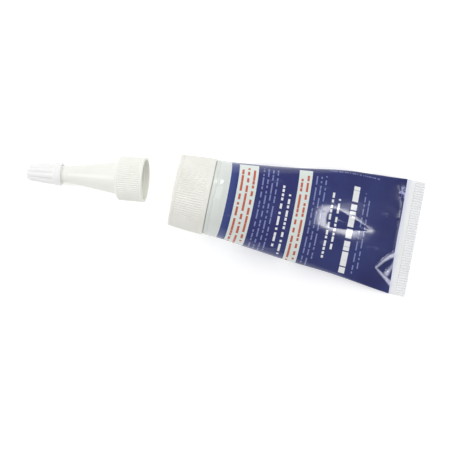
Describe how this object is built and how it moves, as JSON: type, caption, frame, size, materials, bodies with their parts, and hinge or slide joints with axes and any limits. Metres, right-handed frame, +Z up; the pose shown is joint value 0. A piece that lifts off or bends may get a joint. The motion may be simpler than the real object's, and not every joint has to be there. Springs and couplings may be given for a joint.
{
  "type": "grease tube",
  "caption": "Squeeze tube of grease lying flat, with a ribbed screw cap on a threaded neck, and a loose screw-on applicator nozzle with a fluted push-on tip cap.",
  "frame": {"origin": "on the table, under the middle of the box round the lying tube and its loose nozzle", "axes": "+X along the tube from the cap to the crimp, +Z up from the table, +Y to the left when looking along +X"},
  "size_m": [0.1588, 0.0466, 0.0306],
  "materials": {
    "printed_sleeve": "glossy printed film",
    "natural_plastic": "milky, satin",
    "foil": "bright foil",
    "grease": "soft paste",
    "wad": "foamed sheet",
    "white_plastic": "satin",
    "clean_white_plastic": "satin"
  },
  "bodies": {
    "tube": {"sleeve": "printed_sleeve", "tube_head": "natural_plastic", "foil_seal": "foil", "grease_fill": "grease"},
    "cap_liner": {"cap_liner": "wad"},
    "screw_cap": {"screw_cap": "white_plastic"},
    "nozzle": {"nozzle": "white_plastic"},
    "tip_cap": {"tip_cap": "clean_white_plastic"}
  },
  "joints": [
    {"name": "cap_lift", "type": "slide", "parent": "tube", "child": "cap_liner", "axis": [-1, 0, 0], "range_m": [0, 0.009]},
    {"name": "cap_turn", "type": "hinge", "parent": "cap_liner", "child": "screw_cap", "pos_m": [-0.0125, 0, 0.0153], "axis": [-1, 0, 0], "range_deg": [0, 1080]},
    {"name": "nozzle_lift", "type": "slide", "parent": "tube", "child": "nozzle", "axis": [0, 0, 1], "range_m": [0, 0.06]},
    {"name": "tip_cap_pull", "type": "slide", "parent": "nozzle", "child": "tip_cap", "axis": [-0.9818, -0.1293, -0.1393], "range_m": [0, 0.014]}
  ],
  "couplings": [
    {"joint": "cap_lift", "follows": "cap_turn", "m_per_rad": 0.00047746}
  ]
}
